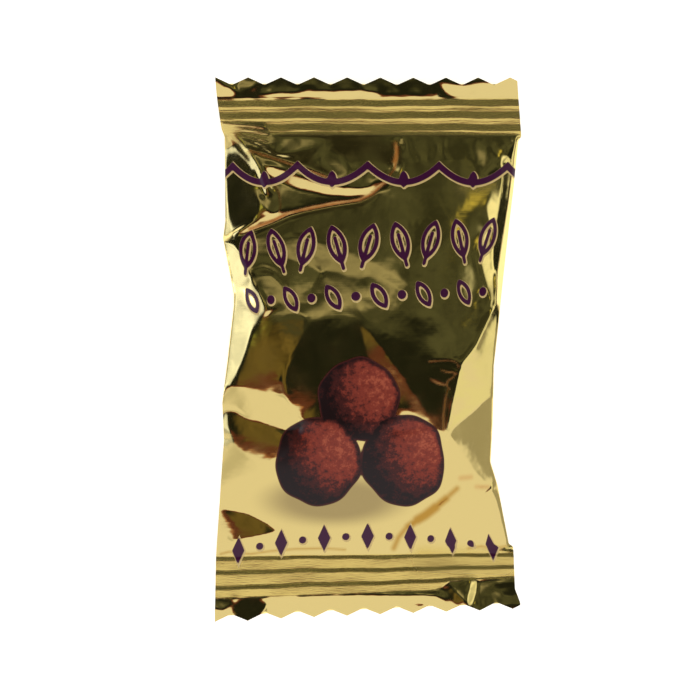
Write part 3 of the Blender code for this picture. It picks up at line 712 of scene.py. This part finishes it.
def column_places():
    """Where the columns lie across, and which of them the back has too."""
    step = TOOTH_PITCH / COLUMNS_PER_TOOTH
    regular = np.arange(-HALF_WIDTH, HALF_WIDTH - 0.5 * step, step)
    near_side = HALF_WIDTH - np.array([0.0, 0.012, 0.045, 0.11])
    fin = np.array([FIN_FOLD - FIN_STEP, FIN_FOLD, FIN_EDGE, FIN_EDGE + FIN_STEP])
    places = np.concatenate([regular, near_side, -near_side[1:], fin])
    shared = np.arange(len(regular)) % BACK_EVERY == 0
    on_back = np.concatenate([shared, np.ones(len(places) - len(regular), bool)])
    order = np.argsort(places)
    return places[order], on_back[order]


def row_places():
    """Rows along the film, evenly apart in each part and closer on the ribs."""
    ends = (-HALF_LENGTH, *BOTTOM_RIBS, *TOP_RIBS, HALF_LENGTH)
    parts = zip(ends, ends[1:], (BODY_ROW, RIB_ROW, BODY_ROW, RIB_ROW, BODY_ROW))
    rows = [np.linspace(low, high, int(np.ceil((high - low) / step)), endpoint=False)
            for low, high, step in parts]
    return np.concatenate(rows + [[HALF_LENGTH]])


print(len(row_places()), "rows of", len(column_places()[0]), "columns on the front")

# %% Skin the film
def film_heights(across, along, x, y):
    """Front and back. In the seals both have the whole relief, and on the body the back takes the side
    creases', fading inwards as the sixth power."""
    folds = sample(relief, x, y)
    at_crease = sample(relief, *film_plan(np.sign(across) * HALF_WIDTH, along))
    sealed = smooth_step(np.abs(along), *SEAL_START)
    follow = sealed * folds + (1 - sealed) * (across / HALF_WIDTH) ** 6 * at_crease
    back = np.maximum(back_height(across, along) + follow, 0.0)
    return np.maximum(front_height(across, along) + folds, back + FILM_PAIR), back


def film_mesh(name):
    """The rings skinned with quads, and strips of the cut edge at both ends."""
    places, on_back = column_places()
    across, along = np.meshgrid(places, row_places())
    x, y = film_plan(across, along)
    front, back = film_heights(across, along, x, y)
    picks = np.flatnonzero(on_back)[::-1]
    ring = np.concatenate([np.arange(len(places)), picks])
    height = np.concatenate([front, back[:, picks]], axis=1)
    points = np.stack([x[:, ring], y[:, ring], height], axis=-1) * MM
    rows, around = points.shape[:2]
    here = np.arange(around)
    lower = (np.arange(rows - 1) * around)[:, None] + here
    ahead = (np.arange(rows - 1) * around)[:, None] + np.roll(here, -1)
    faces = np.stack([lower, ahead, ahead + around, lower + around], axis=-1).reshape(-1, 4).tolist()
    partner = len(places) + np.arange(len(picks))[::-1]
    for start, end, k in zip(picks[::-1], picks[::-1][1:], range(len(picks))):
        strip = [*range(start, end + 1), partner[k + 1], partner[k]]
        faces.append([int(i) for i in strip[::-1]])
        faces.append([int(i) + (rows - 1) * around for i in strip])
    mesh = bpy.data.meshes.new(name)
    mesh.from_pydata(points.reshape(-1, 3), [], faces)
    return mesh, across[:, ring], along[:, ring], np.broadcast_to(here < len(places), across[:, ring].shape)


# %% The film, and what its material reads from it
film, film_across, film_along, is_front = film_mesh("gold_film_wrap")
plan_x, plan_y = film_plan(film_across, film_along)
unprinted = np.where(is_front, 0.0, 99.0)
CREAM_SHIFT = (0.09, -0.13)  # the cream was printed a little to the right and down, as real plates miss
truffle_distance, truffle_light = truffle_print(film_across, film_along)
ATTRIBUTES = {  # distances to the print in mm, and masks from 0 to 1
    "purple_distance": purple_print(film_across, film_along) + unprinted,
    "cream_distance": purple_print(film_across - CREAM_SHIFT[0], film_along - CREAM_SHIFT[1]) + unprinted,
    "truffle_distance": truffle_distance + unprinted,
    "truffle_light": truffle_light,
    "printed_shadow": printed_shadow(film_across, film_along) * is_front,
    "in_seal": sum(crimped(film_across, film_along, *seal) for seal in (TOP_RIBS, BOTTOM_RIBS)),
    # painted copper glow along creases, where light is reflected between their walls
    "painted_crease_glow": line_mask(plan_x, plan_y, PAINTED_CREASE_GLOW) * is_front,
    "amber_fold": line_mask(plan_x, plan_y, AMBER_FOLD) * is_front,
    "brushed": line_mask(plan_x, plan_y, BRUSHED) * is_front,
}
for name, values in ATTRIBUTES.items():
    numbers = np.ravel(values).astype(np.float32)
    film.attributes.new(name, "FLOAT", "POINT").data.foreach_set("value", numbers)
film.shade_smooth()
film.set_sharp_from_angle(angle=np.radians(60))
wrap = bpy.data.objects.new("gold_film_wrap", film)
bpy.context.scene.collection.objects.link(wrap)
print("film:", len(film.vertices), "points,", sum(len(p.vertices) - 2 for p in film.polygons), "triangles")

# %% [markdown]
# ## Material of the film
# Metallised polypropylene: aluminium is steamed on to clear film and the gold comes from a yellow lacquer,
# so it is a true metal to the eye, with a mirror's sharpness that only fine draw lines and handling soften.
# The inks lie on it as thin, glossy, opaque layers. Their edges come from the distance attributes.

# %% Adding nodes
def add_node(tree, kind, inputs=(), out=0, **settings):
    """One node's output. Inputs are pairs of a socket and a value or another node's output."""
    made = tree.nodes.new(kind)
    for name, value in settings.items():
        setattr(made, name, value)
    for socket, value in inputs:
        if isinstance(value, bpy.types.NodeSocket):
            tree.links.new(value, made.inputs[socket])
        else:
            made.inputs[socket].default_value = value
    return made.outputs[out] if made.outputs else made


# %% Colours of the film and its print
# the copper colour is painted glow along creases, where light is reflected between fold walls
GOLD, SEAL_GOLD, COPPER_GLOW, AMBER = linear("F9E092"), linear("F0D57C"), linear("D8823A"), linear("CE9E46")
SHADOWED_GOLD, CREAM, PURPLE = linear("BCA670"), linear("C9AE72"), linear("38082F")
COCOA = (linear("150507"), linear("3A100D"), linear("7A2A1A"), linear("A04A30"))
COCOA_STEPS = ((0.05, 0.42), (0.42, 0.85), (0.85, 1.2))  # light at which each shade starts and is full
POWDER = ((1250.0, 4.0, 0.22), (4000.0, 2.0, 0.14))  # 0.8 mm clumps and 0.25 mm grains: scale, detail, sway
PRINT_EDGES = (  # mask, and the distances in mm at which it is 0 and 1
    ("purple", "purple_distance", 0.05, -0.05), ("cream", "cream_distance", 0.16, 0.08),
    ("truffle", "truffle_distance", 0.08, -0.08), ("halo", "truffle_distance", 0.30, 0.15),
    ("picture", "truffle_distance", 0.60, 0.50),
)
MIRROR_ROUGHNESS, SEAL_ROUGHNESS, BRUSHED_ROUGHNESS, CREASE_GLOW_ROUGHNESS = (0.07, 0.14), 0.22, 0.30, 0.38
INK_ROUGHNESS, INK_GLOSS = 0.34, 0.35
LINES = (  # scale of the noise along each axis, strength, depth in m, and whether only where the jaws pressed
    ((250.0, 4000.0, 600.0), 0.06, 0.00003, False),  # hair-fine draw lines, 4 mm long and 0.25 mm apart
    ((700.0, 7500.0, 700.0), 0.5, 0.00005, True),  # the jaws' streaks, 1.4 mm long and 0.13 mm wide
)


print("gold in linear light:", [round(c, 2) for c in GOLD[:3]])

# %% Metallised film with its print
def film_material():
    """Gold-lacquered metallised film: bright mirror, faint draw lines, opaque inks."""
    material = bpy.data.materials.new("metallised_gold_film")
    material.use_nodes = True
    tree = material.node_tree
    tree.nodes.clear()
    place = add_node(tree, "ShaderNodeTexCoord", out="Object")
    read = {name: add_node(tree, "ShaderNodeAttribute", out="Fac", attribute_name=name)
            for name in ATTRIBUTES}
    # handling: soft cloudy patches 3 mm across, which vary the roughness and break up the painted crease glow
    cloud = add_node(tree, "ShaderNodeTexNoise", [("Vector", place), ("Scale", 330.0), ("Detail", 3.0)])
    patchy = add_node(tree, "ShaderNodeMapRange", [(0, cloud), (1, 0.3), (2, 0.5), (3, 0.6), (4, 1.0)])
    # painted copper glow along creases, broken into patches by the clouds
    painted_crease_glow = add_node(tree, "ShaderNodeMath", [(0, read["painted_crease_glow"]), (1, patchy)], operation="MULTIPLY")
    masks = {name: add_node(tree, "ShaderNodeMapRange", [(0, read[source]), (1, low), (2, high)],
                            interpolation_type="SMOOTHSTEP") for name, source, low, high in PRINT_EDGES}
    # cocoa: the lit side shows its powder, in clumps and grains
    light = read["truffle_light"]
    for scale, detail, sway in POWDER:
        noise = add_node(tree, "ShaderNodeTexNoise", [("Vector", place), ("Scale", scale), ("Detail", detail)])
        more = add_node(tree, "ShaderNodeMapRange", [(0, noise), (1, 0.3), (2, 0.7), (3, -sway), (4, sway)])
        light = add_node(tree, "ShaderNodeMath", [(0, light), (1, more)], operation="ADD")
    cocoa = COCOA[0]
    for (low, high), shade in zip(COCOA_STEPS, COCOA[1:]):
        share = add_node(tree, "ShaderNodeMapRange", [(0, light), (1, low), (2, high)],
                         interpolation_type="SMOOTHSTEP")
        cocoa = add_node(tree, "ShaderNodeMix", [(0, share), (6, cocoa), (7, shade)], out=2, data_type="RGBA")
    # layers of colour on the metal and in the inks, and how much the inks cover
    colours, inked = [GOLD, CREAM], 0.0
    # the copper layer is painted glow along creases, where light is reflected between fold walls
    for layer, share, paint in (
            (0, read["printed_shadow"], SHADOWED_GOLD), (0, read["in_seal"], SEAL_GOLD),
            (0, read["brushed"], SEAL_GOLD), (0, painted_crease_glow, COPPER_GLOW), (0, read["amber_fold"], AMBER),
            (1, masks["purple"], PURPLE), (1, masks["picture"], COCOA[1]), (1, masks["truffle"], cocoa)):
        colours[layer] = add_node(tree, "ShaderNodeMix", [(0, share), (6, colours[layer]), (7, paint)],
                                  out=2, data_type="RGBA")
    for name in ("purple", "cream", "halo"):
        inked = add_node(tree, "ShaderNodeMath", [(0, inked), (1, masks[name])], operation="MAXIMUM")
    # roughness: a cloudy mirror, then the seals, brushed film and the painted crease glow
    rough = add_node(tree, "ShaderNodeMapRange", [
        (0, cloud), (1, 0.35), (2, 0.7), (3, MIRROR_ROUGHNESS[0]), (4, MIRROR_ROUGHNESS[1])])
    for share, value in ((read["in_seal"], SEAL_ROUGHNESS), (read["brushed"], BRUSHED_ROUGHNESS),
                         (painted_crease_glow, CREASE_GLOW_ROUGHNESS)):
        rough = add_node(tree, "ShaderNodeMix", [(0, share), (2, rough), (3, value)])
    pressed = add_node(tree, "ShaderNodeMath", [(0, read["in_seal"]), (1, read["brushed"])],
                       operation="MAXIMUM")
    bump = None
    for scale, strength, depth, by_jaws in LINES:
        stretched = add_node(tree, "ShaderNodeMapping", [("Vector", place), ("Scale", scale)])
        noise = add_node(tree, "ShaderNodeTexNoise", [("Vector", stretched), ("Scale", 1.0), ("Detail", 2.0)])
        height = add_node(tree, "ShaderNodeMath", [(0, noise), (1, pressed if by_jaws else 1.0)],
                          operation="MULTIPLY")
        below = [("Normal", bump)] if bump else []
        bump = add_node(tree, "ShaderNodeBump",
                        [("Strength", strength), ("Distance", depth), ("Height", height)] + below)
    # the jaws' fine scratches scatter a tenth of the light
    metal = add_node(tree, "ShaderNodeMapRange", [(0, pressed), (3, 1.0), (4, 0.9)])
    film_shader = add_node(tree, "ShaderNodeBsdfPrincipled", [
        ("Base Color", colours[0]), ("Metallic", metal), ("Roughness", rough), ("Normal", bump)])
    ink_shader = add_node(tree, "ShaderNodeBsdfPrincipled", [
        ("Base Color", colours[1]), ("Roughness", INK_ROUGHNESS), ("Normal", bump),
        ("Specular IOR Level", INK_GLOSS)])
    shader = add_node(tree, "ShaderNodeMixShader", [(0, inked), (1, film_shader), (2, ink_shader)])
    add_node(tree, "ShaderNodeOutputMaterial", [("Surface", shader)])
    return material


film.materials.append(film_material())
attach(wrap, "root")
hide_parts("truffle_wrap")
print("film material:", len(film.materials[0].node_tree.nodes), "nodes")

# %% [markdown]
# ## The studio
# A mirror shows its room, so the room is built as a photographer would: one large soft panel at the near
# end, a dim ceiling, a window to the side and small lamps. It is the world's shader. A fold that tilts by
# (right, up) mirrors to a camera above it the direction r with right = r.x / (1 + r.z) and
# up = r.y / (1 + r.z), so the panels are laid out in those two numbers, the same in which the folds'
# tilts are written.

# %% Panels and walls of the studio
PANELS = (  # name, linear colour, softness of its edges, and from where to where it is on each axis
    ("ceiling", (0.058, 0.063, 0.041), 0.03, (("right", -0.24, 0.5), ("up", 0.075, None))),
    ("far_ceiling", (0.030, 0.030, 0.020), 0.06, (("right", -0.24, 0.5), ("up", 0.40, None))),
    ("warm_wall", (0.125, 0.095, 0.035), 0.03, (("right", -0.36, -0.13), ("up", -0.08, 0.06))),
    ("soft_strip", (0.26, 0.25, 0.19), 0.025, (("right", -0.38, 0.0), ("up", 0.14, 0.235))),
    ("left_window", (0.93, 1.03, 1.30), 0.03, (("right", -0.80, -0.56), ("up", -0.112, 0.30))),
    ("side_window", (0.80, 0.82, 0.72), 0.05, (("right", 0.40, 0.57), ("up", 0.05, None))),
    ("side_panel", (0.80, 0.82, 0.72), 0.03, (("right", 0.38, 0.64), ("up", -0.20, 0.09))),
    ("panel_frame", (0.108, 0.036, 0.028), 0.018, (("right", -0.5, 0.16), ("up", -0.125, -0.058))),
    ("panel_frame_lit", (0.42, 0.17, 0.08), 0.008, (("right", -0.5, 0.16), ("up", -0.125, -0.108))),
    ("main_panel", (0.79, 0.78, 0.78), 0.012, (("right", -1.1, 0.66), ("up", None, -0.125))),
    ("panel_corner", (0.56, 0.55, 0.52), 0.05, (("right", -0.58, -0.36), ("up", -0.27, -0.15))),
    ("dim_wall", (0.36, 0.35, 0.31), 0.03, (("right", 0.66, None), ("up", None, 0.03))),
    ("table", (0.80, 0.79, 0.77), 0.07, (("spread", 0.87, None),)),
    ("dim_wall_foot", (0.36, 0.35, 0.31), 0.03, (("right", 0.68, 0.86), ("up", -0.5, 0.03))),
    ("yellow_lamp", (0.52, 0.46, 0.12), 0.025, (("right", 0.23, 0.29), ("up", 0.25, 0.30))),
    ("yellow_lamp_left", (0.46, 0.50, 0.14), 0.03, (("right", -0.36, -0.25), ("up", 0.07, 0.12))),
    ("lamp", (4.0, 4.0, 4.0), 0.04, (("right", -0.92, -0.74), ("up", -0.18, 0.03))),
)
print(len(PANELS), "panels, walls and lamps")

# %% The world's shader
def build_studio():
    """Each panel is laid over those before it, and clouds 0.14 wide shade the wall and ceiling."""
    world = bpy.data.worlds.new("studio")
    world.use_nodes = True
    bpy.context.scene.world = world
    tree = world.node_tree
    tree.nodes.clear()
    towards = add_node(tree, "ShaderNodeTexCoord", out="Generated")
    ray = add_node(tree, "ShaderNodeSeparateXYZ", [(0, towards)]).node.outputs
    above = add_node(tree, "ShaderNodeMath", [(0, ray[2]), (1, 1.0001)], operation="ADD")
    axes = {name: add_node(tree, "ShaderNodeMath", [(0, part), (1, above)], operation="DIVIDE")
            for name, part in (("right", ray[0]), ("up", ray[1]))}
    flat = add_node(tree, "ShaderNodeCombineXYZ", [(0, axes["right"]), (1, axes["up"])])
    axes["spread"] = add_node(tree, "ShaderNodeVectorMath", [(0, flat)], out="Value", operation="LENGTH")
    colour = (0.014, 0.016, 0.012, 1.0)
    for _, paint, soft, spans in PANELS:
        mask = 1.0
        edges = [(axes[axis], edge, way) for axis, low, high in spans
                 for edge, way in ((low, soft), (high, -soft)) if edge is not None]
        for place, edge, way in edges:
            side = add_node(tree, "ShaderNodeMapRange", [(0, place), (1, edge - way), (2, edge + way)],
                            interpolation_type="SMOOTHSTEP")
            mask = add_node(tree, "ShaderNodeMath", [(0, mask), (1, side)], operation="MULTIPLY")
        colour = add_node(tree, "ShaderNodeMix", [(0, mask), (6, colour), (7, (*paint, 1.0))], out=2,
                          data_type="RGBA")
    clouds = add_node(tree, "ShaderNodeTexNoise", [("Vector", towards), ("Scale", 7.0), ("Detail", 1.0)])
    shade = add_node(tree, "ShaderNodeMapRange", [(0, clouds), (1, 0.3), (2, 0.7), (3, 0.55), (4, 1.4)])
    is_far = add_node(tree, "ShaderNodeMapRange", [(0, axes["up"]), (1, -0.05), (2, 0.05)])
    strength = add_node(tree, "ShaderNodeMix", [(0, is_far), (2, 1.0), (3, shade)])
    light = add_node(tree, "ShaderNodeBackground", [("Color", colour), ("Strength", strength)])
    add_node(tree, "ShaderNodeOutputWorld", [("Surface", light)])
    return len(tree.nodes)


print("studio:", build_studio(), "nodes")

# %% [markdown]
# ## Table, top light and camera
# The table is matt white paper. The soft top light is for what isn't a mirror, the ink and the table, so
# the film doesn't show it. The camera is a long lens straight above, as for a catalogue picture.

# %% Table and top light
def plain_table(size):
    """A square of white paper that glows a little, so that it is as white as the photo's ground."""
    mesh = bpy.data.meshes.new("table")
    corners = [(-size, -size, 0), (size, -size, 0), (size, size, 0), (-size, size, 0)]
    mesh.from_pydata(corners, [], [(0, 1, 2, 3)])
    material = bpy.data.materials.new("white_paper")
    material.use_nodes = True
    shader = material.node_tree.nodes["Principled BSDF"]
    for socket, value in (("Base Color", linear("E9E9E9")), ("Roughness", 0.9), ("Specular IOR Level", 0.0),
                          ("Emission Color", (1, 1, 1, 1)), ("Emission Strength", 0.55)):
        shader.inputs[socket].default_value = value
    mesh.materials.append(material)
    table = bpy.data.objects.new("table", mesh)
    bpy.context.scene.collection.objects.link(table)
    return table


plain_table(3.0)

lamp = bpy.data.lights.new("soft_top_light", "SUN")
lamp.energy, lamp.angle = 1.6, 1.0
top_light = bpy.data.objects.new("soft_top_light", lamp)
top_light.rotation_euler = (-0.05, 0.05, 0.0)
top_light.visible_glossy = False
bpy.context.scene.collection.objects.link(top_light)
print("top light:", round(lamp.energy, 1), "W per square metre")

# %% Camera
FRAME_WIDTH = 93.333  # mm at the seals' height, from the photo's scale
FRAME_MIDDLE = (-2.333, -0.4)  # mm, so that the pack stands where it does in the photo
SENSOR, LENS = 36.0, 150.0
eye = bpy.data.cameras.new("camera")
eye.sensor_width, eye.lens, eye.clip_start, eye.clip_end = SENSOR, LENS, 0.01, 20.0
camera = bpy.data.objects.new("camera", eye)
eye_height = FRAME_WIDTH * LENS / SENSOR + SEAL_HEIGHT
camera.location = (FRAME_MIDDLE[0] * MM, FRAME_MIDDLE[1] * MM, eye_height * MM)
bpy.context.scene.collection.objects.link(camera)
bpy.context.scene.camera = camera
bpy.context.scene.view_settings.view_transform = "Standard"
print("camera:", round(eye_height), "mm above the table")
